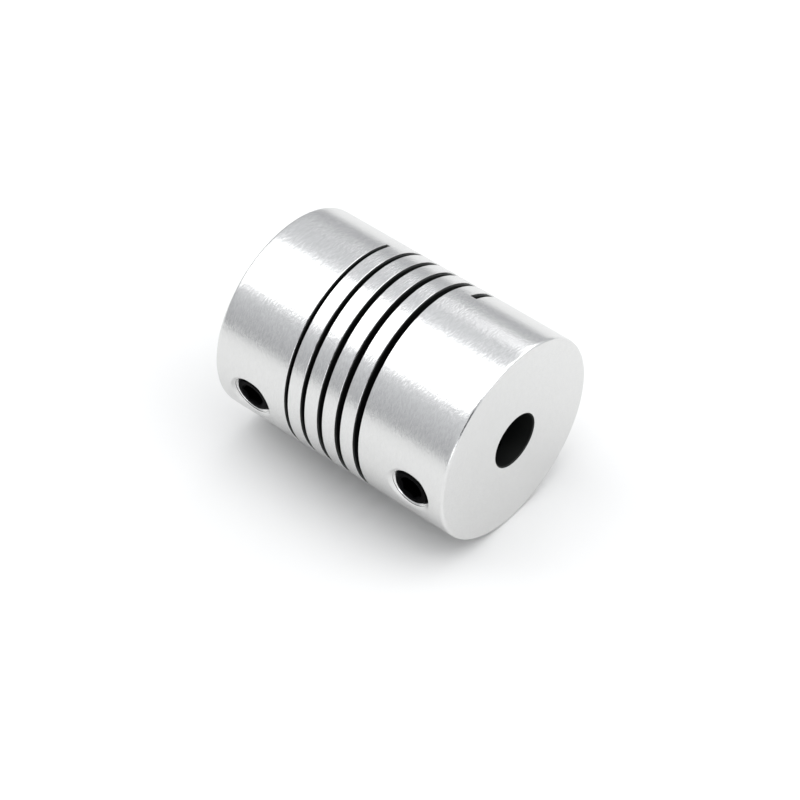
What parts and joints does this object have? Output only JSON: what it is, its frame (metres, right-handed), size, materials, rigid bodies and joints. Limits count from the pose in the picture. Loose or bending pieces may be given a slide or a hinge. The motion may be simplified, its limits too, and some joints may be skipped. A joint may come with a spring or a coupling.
{
  "type": "flexible shaft coupling",
  "caption": "Cylindrical flexible shaft coupling: a helical cut through the wall leaves a flexing beam between bored hubs with radial set screws.",
  "frame": {"origin": "centre of the bottom end face, the face with the larger bore", "axes": "+Z along the shaft axis towards the end face with the smaller bore; +X along the first set screw of the top hub"},
  "size_m": [0.019, 0.019, 0.025],
  "materials": {
    "turned_aluminium": "satin turned",
    "black_oxide_steel": "black oxide"
  },
  "bodies": {
    "root": {"coupling_body": "turned_aluminium", "set_screws": "black_oxide_steel"}
  },
  "joints": []
}
